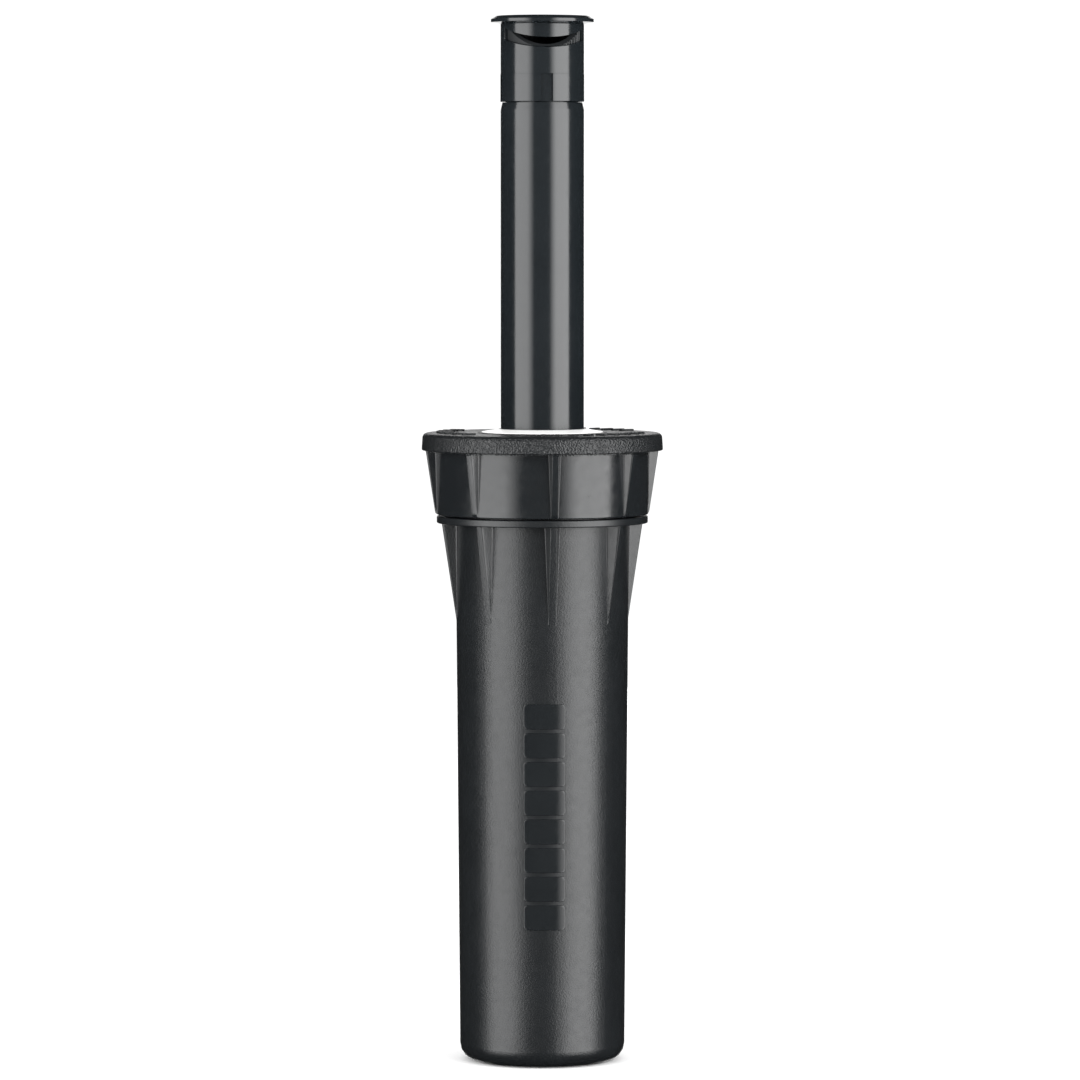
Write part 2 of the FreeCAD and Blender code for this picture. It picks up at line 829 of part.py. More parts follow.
os.makedirs("parts", exist_ok=True)
for name, make in pieces.items():
    shape = make()
    solids = shape.Solids
    if len(solids) == 1:
        shape = solids[0]
    shape.exportStep(f"parts/{name}.step")
    box = shape.BoundBox
    print(
        f"{name:15s} solids {len(solids)} valid {shape.isValid()} volume {shape.Volume:9.1f}"
        f" z {box.ZMin:7.2f} to {box.ZMax:7.2f} r {box.XMax:6.2f}"
    )
print(f"cap top {cap_top_z:.2f} collar {collar_z:.2f} to {collar_top_z:.2f} spring seat {spring_seat_z:.2f}")
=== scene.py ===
import math

import bpy
import numpy as np
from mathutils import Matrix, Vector


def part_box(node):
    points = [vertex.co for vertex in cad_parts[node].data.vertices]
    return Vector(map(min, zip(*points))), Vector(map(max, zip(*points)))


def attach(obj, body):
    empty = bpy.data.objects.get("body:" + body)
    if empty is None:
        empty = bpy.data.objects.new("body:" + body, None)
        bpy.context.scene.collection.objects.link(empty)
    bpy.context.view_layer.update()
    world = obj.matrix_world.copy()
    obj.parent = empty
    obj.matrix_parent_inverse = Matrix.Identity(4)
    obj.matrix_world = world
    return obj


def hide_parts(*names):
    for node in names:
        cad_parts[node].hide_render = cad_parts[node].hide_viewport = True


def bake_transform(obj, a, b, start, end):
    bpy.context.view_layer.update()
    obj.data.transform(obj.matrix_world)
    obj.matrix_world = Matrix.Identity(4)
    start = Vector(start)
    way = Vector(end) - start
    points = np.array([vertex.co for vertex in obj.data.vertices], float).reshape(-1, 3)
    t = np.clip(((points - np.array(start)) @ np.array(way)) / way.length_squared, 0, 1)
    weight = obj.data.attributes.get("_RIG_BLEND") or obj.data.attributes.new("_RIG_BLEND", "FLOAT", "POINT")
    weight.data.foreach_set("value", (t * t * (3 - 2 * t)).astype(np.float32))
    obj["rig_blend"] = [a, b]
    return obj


# Pop-up sprinkler, standing on its base with its riser up. The front is -Y and z = 0 is the floor.
# Sizes are in millimetres and become metres when a mesh is made. Each moulded shell is a grid of points:
# its rows run along the wall's section, and its columns go round the axis.

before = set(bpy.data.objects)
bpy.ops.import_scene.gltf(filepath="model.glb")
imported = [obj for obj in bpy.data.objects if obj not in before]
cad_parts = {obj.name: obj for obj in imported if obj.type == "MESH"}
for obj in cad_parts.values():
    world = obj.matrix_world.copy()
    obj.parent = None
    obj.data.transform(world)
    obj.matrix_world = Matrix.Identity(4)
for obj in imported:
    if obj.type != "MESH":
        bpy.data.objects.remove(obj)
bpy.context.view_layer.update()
mm = 0.001
turn = 2 * math.pi
front = -turn / 4  # the front's direction, from +X
stepBend = 0.2  # how far softStep's parabolas reach to each side of its bends
leastFlank = 0.12  # keeps the columns of a rib's flank apart where the rib has no height
flankColumns = np.array([-0.2, -0.07, 0.07, 0.2, 0.8, 0.93, 1.07, 1.2])  # four at each of a flank's bends
topColumns = np.array([0.5, 0.97])  # on each half of a rib's flat top
fieldColumns = 6  # between a rib's foot and the middle of the field beside it
threadMargin = 0.5  # plain wall kept at the end of a threaded run
nearlyStraight = 1.56  # a corner whose half angle is wider than this gets no arc
print("frame loaded:", len(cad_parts), "nodes")


def sizeOf(node):
    # widest radius, lowest z and highest z of a CAD node
    low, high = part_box(node)
    return high.x / mm, low.z / mm, high.z / mm


def softStep(t, bend=stepBend):
    # 0 below 0, t in between, 1 above 1, with a short parabola over each bend
    low = (t + bend) ** 2 / (4 * bend)
    high = 1 - (1 + bend - t) ** 2 / (4 * bend)
    places = [t <= -bend, t < bend, t <= 1 - bend, t < 1 + bend]
    return np.select(places, [0 * t, low, t, high], 1 + 0 * t)


def section(corners, arcSteps=4, hold=0.07):
    # closed outline through (r, z, round, step) corners, as rows of (r, z) and each row's run number.
    # A corner becomes an arc, whose points swing from one tangent point to the other: the sine of the swing
    # left times the first plus the sine of the swing done times the second, over the sine of it all. A run
    # starts and ends with a row close to its arcs, which keeps the flat beside them flat. Its other rows are
    # at most step apart.
    points = np.array([corner[:2] for corner in corners], float)
    bends = []
    for i, corner in enumerate(corners):
        back, ahead = points[i - 1] - points[i], points[(i + 1) % len(points)] - points[i]
        back /= np.linalg.norm(back)
        ahead /= np.linalg.norm(ahead)
        half = math.acos(np.clip(back @ ahead, -1, 1)) / 2
        radius = corner[2] if len(corner) > 2 else 0
        if radius == 0 or half > nearlyStraight:
            bends.append(points[i][None])
            continue
        reach = radius / math.tan(half)
        centre = points[i] + (back + ahead) / np.linalg.norm(back + ahead) * radius / math.sin(half)
        start, end = points[i] + back * reach - centre, points[i] + ahead * reach - centre
        swing = math.pi - 2 * half
        share = np.linspace(0, 1, arcSteps + 1)[:, None]
        arc = np.sin((1 - share) * swing) * start + np.sin(share * swing) * end
        bends.append(centre + arc / math.sin(swing))
    rows, runs = [], []
    for i, bend in enumerate(bends):
        rows.append(bend)
        runs.append(np.full(len(bend), i))
        a, b = bend[-1], bends[(i + 1) % len(bends)][0]
        length = np.linalg.norm(b - a)
        if length < 3 * hold:
            continue
        step = corners[i][3] if len(corners[i]) > 3 else length
        count = max(2, math.ceil(length / step) + 1)
        share = np.linspace(hold / length, 1 - hold / length, count)[:, None]
        rows.append(a + (b - a) * share)
        runs.append(np.full(len(share), i))
    return np.vstack(rows), np.concatenate(runs)


def around(rows, columns=128):
    # every row carried once round the axis: r cos(angle), r sin(angle), z
    angle = np.arange(columns) * turn / columns
    r, z = rows[:, :1], rows[:, 1:]
    return np.stack([r * np.cos(angle), r * np.sin(angle), z + 0 * angle], -1)


def ribbedAround(rows, halfTop, flank, rise, lift):
    # rows carried round in eight sectors, each with a rib or web at its middle. Beside the middle a column
    # keeps its distance from the middle plane, so that ribs have parallel sides: x is the root of r squared
    # minus that distance squared. Rise moves the rib's top outwards and lift moves it up, both times 1
    # minus softStep of the way down its flank. Further out the columns share the angle that is left.
    r = rows[:, :1]
    top = (halfTop - stepBend * flank)[:, None] * topColumns
    side = halfTop[:, None] + flank[:, None] * flankColumns
    off = np.hstack([top, side, side[:, -1:] + leastFlank])
    share = np.hstack([[1, 1], 1 - softStep(flankColumns), [0]])
    edge = np.arcsin(off[:, -1:] / r)
    rest = edge + (turn / 16 - edge) * np.linspace(0, 1, fieldColumns)[1:]
    x = np.hstack([np.sqrt(r ** 2 - off ** 2), r * np.cos(rest)])
    y = np.hstack([off, r * np.sin(rest)])
    share = np.hstack([share, np.zeros(fieldColumns - 1)])
    x = np.hstack([x[:, ::-1], r, x[:, :-1]])
    y = np.hstack([-y[:, ::-1], 0 * r, y[:, :-1]])
    share = np.hstack([share[::-1], [1], share[:-1]])
    middle = front + np.arange(8) * turn / 8
    x = x[:, None, :] + rise[:, :, None] * share
    y = y[:, None, :] + 0 * x
    z = rows[:, 1][:, None, None] + lift[:, None, None] * share + 0 * x
    cos, sin = np.cos(middle)[:, None], np.sin(middle)[:, None]
    return np.stack([x * cos - y * sin, x * sin + y * cos, z], -1).reshape(len(rows), -1, 3)


def threaded(grid, picked, cut):
    # a right-handed ridge on the picked rows: depth times softStep of how far a point is inside the ridge's
    # half width, measured along the axis from the nearest turn of the helix. It fades out at both ends.
    x, y, z = (grid[picked][..., k] for k in range(3))
    part = (np.arctan2(y, x) % turn) / turn
    nearest = np.round((z - cut["start"]) / cut["pitch"] - part)
    away = np.abs(z - cut["start"] - (nearest + part) * cut["pitch"])
    along = nearest + part
    fade = softStep(along / cut["fade"]) * softStep((cut["turns"] - along) / cut["fade"])
    height = cut["depth"] * fade * softStep((cut["base"] / 2 - away) / ((cut["base"] - cut["crest"]) / 2))
    r = np.hypot(x, y)
    grid = grid.copy()
    grid[picked, :, 0] = x * (r + height) / r
    grid[picked, :, 1] = y * (r + height) / r
    return grid


def meshOf(name, points, faces):
    # faces is a list of whole arrays, one for each number of corners
    corners = np.concatenate([f.ravel() for f in faces]).astype(np.int32)
    sizes = np.concatenate([np.full(len(f), f.shape[1]) for f in faces])
    mesh = bpy.data.meshes.new(name)
    mesh.vertices.add(len(points))
    mesh.vertices.foreach_set("co", (points * mm).astype(np.float32).ravel())
    mesh.loops.add(len(corners))
    mesh.loops.foreach_set("vertex_index", corners)
    mesh.polygons.add(len(sizes))
    mesh.polygons.foreach_set("loop_start", (np.cumsum(sizes) - sizes).astype(np.int32))
    mesh.polygons.foreach_set("use_smooth", np.ones(len(sizes), bool))
    mesh.update()
    return mesh


def shellMesh(name, grids, poles=False):
    # quads between neighbouring rows and columns, for one grid or for many of the same size. Columns always
    # close. Rows close too, or with poles the first and last row each shrink to a point. The sign of the
    # volume inside says which way the faces turn.
    grids = grids if grids.ndim == 4 else grids[None]
    count, rows, columns = grids.shape[:3]
    if poles:
        points = np.concatenate([grids[:, 1:-1].reshape(count, -1, 3), grids[:, [0, -1]].mean(2)], 1)
        index = np.arange((rows - 2) * columns).reshape(-1, columns)
        lower, upper = index[:-1], index[1:]
        first, last = np.full(columns, index.size), np.full(columns, index.size + 1)
        fans = np.vstack([np.stack([first, np.roll(index[0], -1), index[0]], -1),
                          np.stack([last, index[-1], np.roll(index[-1], -1)], -1)])
    else:
        points = grids.reshape(count, -1, 3)
        index = np.arange(rows * columns).reshape(rows, columns)
        lower, upper = index, np.roll(index, -1, 0)
        fans = np.zeros((0, 3), int)
    quads = np.stack([lower, np.roll(lower, -1, 1), np.roll(upper, -1, 1), upper], -1).reshape(-1, 4)
    a, b, c, d = (points[0][quads[:, k]] - points[0].mean(0) for k in range(4))
    if np.sum(a * (np.cross(b, c) + np.cross(c, d))) < 0:
        quads, fans = quads[:, ::-1], fans[:, ::-1]
    shift = np.arange(count)[:, None, None] * points.shape[1]
    faces = [(quads + shift).reshape(-1, 4), (fans + shift).reshape(-1, 3)]
    return meshOf(name, points.reshape(-1, 3), faces)


def wiresMesh(name, paths, radius, sides, closed=False):
    # wires along many paths at once: path plus radius times (cos of the way round, outwards, plus sin of
    # it, sideways), where sideways is square to the path and to the outward direction. Open wires get a
    # face at each end. The map called wire holds the way round and the way along.
    ahead = np.roll(paths, -1, 1) - np.roll(paths, 1, 1)
    if not closed:
        ahead[:, 0], ahead[:, -1] = paths[:, 1] - paths[:, 0], paths[:, -1] - paths[:, -2]
    ahead /= np.linalg.norm(ahead, axis=-1, keepdims=True)
    out = paths * [1, 1, 0]
    out = out / np.linalg.norm(out, axis=-1, keepdims=True)
    out -= (out * ahead).sum(-1, keepdims=True) * ahead
    out /= np.linalg.norm(out, axis=-1, keepdims=True)
    sideways = np.cross(ahead, out)
    way = np.arange(sides) * turn / sides
    ring = np.cos(way)[:, None] * out[:, :, None] + np.sin(way)[:, None] * sideways[:, :, None]
    points = paths[:, :, None] + radius * ring
    count, length = paths.shape[:2]
    index = np.arange(count * length * sides).reshape(count, length, sides)
    near, far = (index, np.roll(index, -1, 1)) if closed else (index[:, :-1], index[:, 1:])
    faces = [np.stack([near, np.roll(near, -1, 2), np.roll(far, -1, 2), far], -1).reshape(-1, 4)]
    along, side = np.meshgrid(np.arange(near.shape[1]), np.arange(sides), indexing="ij")
    u = np.stack([side, side + 1, side + 1, side], -1) / sides
    v = np.stack([along, along, along + 1, along + 1], -1) / length
    uv = [np.tile(np.stack([u, v], -1).reshape(-1, 2), (count, 1))]
    if not closed:
        faces.append(np.vstack([index[:, 0, ::-1], index[:, -1]]))
        uv.append(np.full((2 * count * sides, 2), 0.5))
    mesh = meshOf(name, points.reshape(-1, 3), faces)
    mesh.uv_layers.new(name="wire").data.foreach_set("uv", np.vstack(uv).astype(np.float32).ravel())
    return mesh


bevelRows = np.array([0, 0.08, 0.3, 0.6, 1, 1.6])  # places in from a pad's edge, times its bevel
padStep = 0.5
padSink = 0.3  # how deep a pad's rim is sunk in the wall that carries it
padUnder = 0.2  # from the rim down to the pad's underside


def padLoops(pad, width, height):
    # a rounded rectangular pad as closed loops from one end to the other: over the top and back underneath.
    # Points are close together at the edges, where the top rounds off by a quarter circle as wide as the
    # bevel. Near the ends the loops narrow by the corner's circle.
    corner, rise, bevel = pad["corner"], pad["rise"], pad["bevel"]
    a, b = width / 2, height / 2
    places = []
    for half in (b, a):
        near = bevel * bevelRows
        steps = math.ceil((half - near[-1]) / padStep)
        inset = np.concatenate([near, np.linspace(near[-1], half, steps + 1)[1:]])
        places.append(np.concatenate([inset - half, (half - inset)[-2::-1]]))
    v, u = places[0][:, None], places[1][None]
    past = np.maximum(np.abs(v) - b + corner, 0)
    u = u * (a - corner + np.sqrt(corner ** 2 - past ** 2)) / a
    v = v + 0 * u
    besides = np.maximum(np.abs(u) - a + corner, 0)
    inside = np.where((past > 0) & (besides > 0), corner - np.hypot(past, besides),
                      np.minimum(a - np.abs(u), b - np.abs(v)))
    w = rise - bevel + np.sqrt(bevel ** 2 - np.clip(bevel - inside, 0, bevel) ** 2)
    w = np.where(inside < 1e-6, -padSink, w)
    top, under = np.stack([u, v, w], -1), np.stack([u, v, 0 * w - padSink - padUnder], -1)
    loops = np.concatenate([top, under[:, ::-1]], 1)
    return np.concatenate([loops[:1], loops, loops[-1:]])


weldSteps = 1e4  # corners that share a ten-thousandth of a millimetre are one point
nearlyRadial = 0.12  # sideways share of a normal that is still taken out


def copyOfNode(name, node):
    # a CAD node's triangles with equal corners merged. A normal that is nearly radial is made exactly so,
    # which keeps the gloss lines on turned walls straight.
    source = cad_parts[node].data
    co, corner = np.zeros(len(source.vertices) * 3), np.zeros(len(source.loops), np.int32)
    normal = np.zeros(len(source.loops) * 3, np.float32)
    source.vertices.foreach_get("co", co)
    source.loops.foreach_get("vertex_index", corner)
    source.corner_normals.foreach_get("vector", normal)
    co = co.reshape(-1, 3) / mm
    steps = np.round(co * weldSteps).astype(int)
    _, first, back = np.unique(steps, axis=0, return_index=True, return_inverse=True)
    faces, normal = back.ravel()[corner].reshape(-1, 3), normal.reshape(-1, 3, 3).astype(float)
    whole = (faces != np.roll(faces, 1, 1)).all(1)
    points, faces, normal = co[first], faces[whole], normal[whole].reshape(-1, 3)
    place = points[faces.ravel()]
    across = np.stack([-place[:, 1], place[:, 0], 0 * place[:, 0]], -1)
    across /= np.maximum(np.linalg.norm(across, axis=1, keepdims=True), 1e-6)
    sideways = (normal * across).sum(1, keepdims=True)
    normal = np.where(np.abs(sideways) < nearlyRadial, normal - sideways * across, normal)
    mesh = meshOf(name, points, [faces])
    mesh.normals_split_custom_set((normal / np.linalg.norm(normal, axis=1, keepdims=True)).tolist())
    return mesh


def addPiece(mesh, body, material, node=None):
    # puts a mesh in the scene on its body, in the place of a CAD node if it stands for one
    piece = bpy.data.objects.new(mesh.name, mesh)
    bpy.context.scene.collection.objects.link(piece)
    mesh.materials.append(material)
    if node:
        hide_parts(node)
    if body:
        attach(piece, body)
    return piece


glossPatches = 6  # patches of gloss are this many times finer than the clouds of colour
grainDetail = 2.0
grainRoughness = 0.6


def nodesOf(name):
    material = bpy.data.materials.new(name)
    material.use_nodes = True
    nodes, links = material.node_tree.nodes, material.node_tree.links
    return material, nodes, links, nodes["Principled BSDF"]


def noise(nodes, links, vector, scale, detail=3.0, roughness=0.55):
    texture = nodes.new("ShaderNodeTexNoise")
    texture.inputs["Scale"].default_value = scale
    texture.inputs["Detail"].default_value = detail
    texture.inputs["Roughness"].default_value = roughness
    links.new(vector, texture.inputs["Vector"])
    return texture.outputs["Fac"]


def spread(nodes, links, value, low, high):
    # the middle half of a noise stretched to the range low to high
    stretch = nodes.new("ShaderNodeMapRange")
    for socket, number in (("From Min", 0.25), ("From Max", 0.75), ("To Min", low), ("To Max", high)):
        stretch.inputs[socket].default_value = number
    links.new(value, stretch.inputs["Value"])
    return stretch.outputs["Result"]


def fadeBetween(nodes, links, value, places, ends):
    # goes evenly from one end to the other between two places, which are in millimetres
    fade = nodes.new("ShaderNodeMapRange")
    numbers = (places[0] * mm, places[1] * mm, *ends)
    for socket, number in zip(("From Min", "From Max", "To Min", "To Max"), numbers):
        fade.inputs[socket].default_value = number
    links.new(value, fade.inputs["Value"])
    return fade.outputs["Result"]


def multiply(nodes, links, a, b):
    product = nodes.new("ShaderNodeMath")
    product.operation = "MULTIPLY"
    links.new(a, product.inputs[0])
    if hasattr(b, "is_linked"):
        links.new(b, product.inputs[1])
    else:
        product.inputs[1].default_value = b
    return product.outputs[0]


def add(nodes, links, a, b):
    total = nodes.new("ShaderNodeMath")
    links.new(a, total.inputs[0])
    links.new(b, total.inputs[1])
    return total.outputs[0]


def bumped(nodes, links, shader, height, distance):
    bump = nodes.new("ShaderNodeBump")
    bump.inputs["Strength"].default_value = 1.0
    bump.inputs["Distance"].default_value = distance * mm
    links.new(height, bump.inputs["Height"])
    links.new(bump.outputs["Normal"], shader.inputs["Normal"])


def tinted(nodes, links, shader, value, dark, light):
    ramp = nodes.new("ShaderNodeMix")
    ramp.data_type = "RGBA"
    ramp.inputs["A"].default_value = (*dark, 1)
    ramp.inputs["B"].default_value = (*light, 1)
    links.new(value, ramp.inputs["Factor"])
    links.new(ramp.outputs["Result"], shader.inputs["Base Color"])


def plasticBase(name, look):
    # what every moulding here shares: clouded colour, smaller patches of gloss, and the heights of a fine
    # grain and of the slow waviness that walls get as they cool
    material, nodes, links, shader = nodesOf(name)
    place = nodes.new("ShaderNodeTexCoord").outputs["Object"]
    cloud = noise(nodes, links, place, look["cloud"])
    tinted(nodes, links, shader, spread(nodes, links, cloud, 0, 1), look["dark"], look["light"])
    patches = noise(nodes, links, place, look["cloud"] * glossPatches)
    gloss = spread(nodes, links, patches, *look["roughness"])
    grain = noise(nodes, links, place, look["grain"], grainDetail, grainRoughness)
    grain = multiply(nodes, links, grain, look["grainDepth"])
    wave = multiply(nodes, links, noise(nodes, links, place, look["wave"], 1.0), look["waveDepth"])
    shader.inputs["IOR"].default_value = look.get("ior", 1.5)
    return material, place, gloss, grain, wave


def mouldedPlastic(name, look):
    # the shared moulding with nothing added
    material, _, gloss, grain, wave = plasticBase(name, look)
    nodes, links = material.node_tree.nodes, material.node_tree.links
    shader = nodes["Principled BSDF"]
    links.new(gloss, shader.inputs["Roughness"])
    bumped(nodes, links, shader, add(nodes, links, grain, wave), 1.0)
    return material


def pebbledPlastic(name, look):
    # from a height upwards coarse pebbles join the grain, and the gloss is broken up
    material, place, gloss, grain, wave = plasticBase(name, look)
    nodes, links = material.node_tree.nodes, material.node_tree.links
    shader = nodes["Principled BSDF"]
    split = nodes.new("ShaderNodeSeparateXYZ")
    links.new(place, split.inputs[0])
    rim = fadeBetween(nodes, links, split.outputs["Z"], look["rimFrom"], (0, 1))
    pebble = nodes.new("ShaderNodeTexVoronoi")
    pebble.feature = "SMOOTH_F1"
    pebble.inputs["Scale"].default_value = look["pebble"]
    pebble.inputs["Smoothness"].default_value = look["pebbleSoft"]
    links.new(place, pebble.inputs["Vector"])
    coarse = multiply(nodes, links, pebble.outputs["Distance"], look["pebbleDepth"])
    coarse = multiply(nodes, links, coarse, rim)
    bumped(nodes, links, shader, add(nodes, links, add(nodes, links, coarse, grain), wave), 1.0)
    broken = multiply(nodes, links, rim, look["rimRoughness"])
    links.new(add(nodes, links, gloss, broken), shader.inputs["Roughness"])
    return material


def windowedPlastic(name, look):
    # matt nearer the axis than the wall: the inside, and the window's ledge
    material, place, gloss, grain, wave = plasticBase(name, look)
    nodes, links = material.node_tree.nodes, material.node_tree.links
    shader = nodes["Principled BSDF"]
    flat = nodes.new("ShaderNodeVectorMath")
    flat.operation = "MULTIPLY"
    flat.inputs[1].default_value = (1, 1, 0)
    links.new(place, flat.inputs[0])
    radius = nodes.new("ShaderNodeVectorMath")
    radius.operation = "LENGTH"
    links.new(flat.outputs["Vector"], radius.inputs[0])
    inside = fadeBetween(nodes, links, radius.outputs["Value"], look["mattTo"], (1, 0))
    matt = multiply(nodes, links, inside, look["matt"])
    links.new(add(nodes, links, gloss, matt), shader.inputs["Roughness"])
    bumped(nodes, links, shader, add(nodes, links, grain, wave), 1.0)
    return material


def rubber(name, look):
    # matt skin with a fine sandy grain and paler bloom in patches
    material, nodes, links, shader = nodesOf(name)
    place = nodes.new("ShaderNodeTexCoord").outputs["Object"]
    bloom = noise(nodes, links, place, look["bloom"], 4.0)
    tinted(nodes, links, shader, spread(nodes, links, bloom, 0, 1), look["dark"], look["light"])
    links.new(spread(nodes, links, bloom, *look["roughness"]), shader.inputs["Roughness"])
    bumped(nodes, links, shader, noise(nodes, links, place, look["grain"]), look["grainDepth"])
    return material


def drawnWire(name, look):
    # steel wire: streaks along the wire from its own map, u round the wire and v along it
    material, nodes, links, shader = nodesOf(name)
    uv = nodes.new("ShaderNodeUVMap")
    uv.uv_map = "wire"
    stretch = nodes.new("ShaderNodeMapping")
    stretch.inputs["Scale"].default_value = look["streak"]
    links.new(uv.outputs["UV"], stretch.inputs["Vector"])
    streak = noise(nodes, links, stretch.outputs["Vector"], 1.0, 3.0)
    tinted(nodes, links, shader, streak, look["dark"], look["light"])
    links.new(spread(nodes, links, streak, *look["roughness"]), shader.inputs["Roughness"])
    bumped(nodes, links, shader, streak, look["depth"])
    shader.inputs["Metallic"].default_value = 1.0
    return material


blackHousing = mouldedPlastic("blackHousing", {
    "dark": (0.0062, 0.0074, 0.0084), "light": (0.0088, 0.0103, 0.0115), "cloud": 90,
    "roughness": (0.28, 0.36), "grain": 2600, "grainDepth": 0.052, "wave": 45, "waveDepth": 0.03,
})
blackBars = mouldedPlastic("blackBars", {
    "dark": (0.0058, 0.007, 0.008), "light": (0.008, 0.0095, 0.0105), "cloud": 90,
    "roughness": (0.13, 0.19), "grain": 2600, "grainDepth": 0.003, "wave": 60, "waveDepth": 0.02,
})
riserLook = {
    "dark": (0.0064, 0.0084, 0.0098), "light": (0.0086, 0.0108, 0.0124), "cloud": 70,
    "roughness": (0.14, 0.2), "grain": 2500, "grainDepth": 0.0015, "wave": 60, "waveDepth": 0.012,
    "ior": 1.53,
}
blackGloss = mouldedPlastic("blackGloss", riserLook)
blackPlug = windowedPlastic("blackPlug", {**riserLook, "matt": 0.5, "mattTo": (8.96, 9.0)})
blackCap = pebbledPlastic("blackCap", {
    "dark": (0.0062, 0.0074, 0.0084), "light": (0.0086, 0.01, 0.0112), "cloud": 80,
    "roughness": (0.12, 0.28), "grain": 2500, "grainDepth": 0.01, "wave": 60, "waveDepth": 0.03,
    "pebble": 2400, "pebbleDepth": 0.2, "pebbleSoft": 0.6, "rimRoughness": 0.2, "rimFrom": (144.2, 144.7),
})
whitePlastic = mouldedPlastic("whitePlastic", {
    "dark": (0.80, 0.80, 0.79), "light": (0.86, 0.86, 0.85), "cloud": 120,
    "roughness": (0.3, 0.4), "grain": 2500, "grainDepth": 0.002, "wave": 80, "waveDepth": 0.01,
})
greyPlastic = mouldedPlastic("greyPlastic", {
    "dark": (0.20, 0.21, 0.22), "light": (0.26, 0.27, 0.28), "cloud": 120,
    "roughness": (0.34, 0.46), "grain": 2800, "grainDepth": 0.006, "wave": 80, "waveDepth": 0.015,
})
darkPlastic = mouldedPlastic("darkPlastic", {
    "dark": (0.03, 0.031, 0.034), "light": (0.042, 0.043, 0.046), "cloud": 120,
    "roughness": (0.34, 0.44), "grain": 2800, "grainDepth": 0.006, "wave": 80, "waveDepth": 0.015,
})
screenPlastic = mouldedPlastic("screenPlastic", {
    "dark": (0.30, 0.31, 0.31), "light": (0.40, 0.41, 0.41), "cloud": 300,
    "roughness": (0.3, 0.4), "grain": 3000, "grainDepth": 0.002, "wave": 90, "waveDepth": 0.002,
})
blackRubber = rubber("blackRubber", {
    "dark": (0.017, 0.017, 0.018), "light": (0.035, 0.035, 0.036), "bloom": 200,
    "roughness": (0.55, 0.75), "grain": 3500, "grainDepth": 0.012,
})
redRubber = rubber("redRubber", {
    "dark": (0.06, 0.022, 0.016), "light": (0.10, 0.042, 0.032), "bloom": 180,
    "roughness": (0.55, 0.75), "grain": 3200, "grainDepth": 0.012,
})
steelWire = drawnWire("steelWire", {
    "dark": (0.42, 0.41, 0.39), "light": (0.62, 0.61, 0.59), "streak": (9, 160, 1),
    "roughness": (0.2, 0.34), "depth": 0.006,
})
print("materials made")


# housing: base, drafted wall with eight ribs under the collar, threaded neck, and inside it four guide ribs
# and eight webs round the inlet's boss
body = {
    "inlet": 10.6, "chamfer": 0.9, "boss": 13.2, "bossTop": 15.5, "floor": 3.0, "webTop": 12.5,
    "base": 19.5, "baseRound": 4.0, "bore": 17.4, "draft": 0.0082, "collar": 127.53, "collarTop": 129.23,
    "collarR": 24.986, "neck": 22.256, "mouthR": 19.846, "mouth": 145.73, "throat": 18.446,
    "throatZ": 126.73, "ribFoot": 104.33, "ribEnd": 128.13, "ribHalf": 0.825, "ribHeight": 3.4,
    "ribDraft": 0.24, "guideR": 16.4, "guideTop": 125.73, "guideHalf": 0.9, "edge": 0.3,
    "bossSqueeze": 12.2, "wallSqueeze": 17,  # heights over which rows make room for the webs
}
neckThread = {
    "start": 134.93, "pitch": 3.0, "turns": 3.167, "depth": 0.9, "base": 1.3, "crest": 0.7, "fade": 0.08,
}
inletThread = {
    "start": 1.6, "pitch": 1.814, "turns": 7.0, "depth": -0.85, "base": 1.6, "crest": 0.3, "fade": 0.3,
}


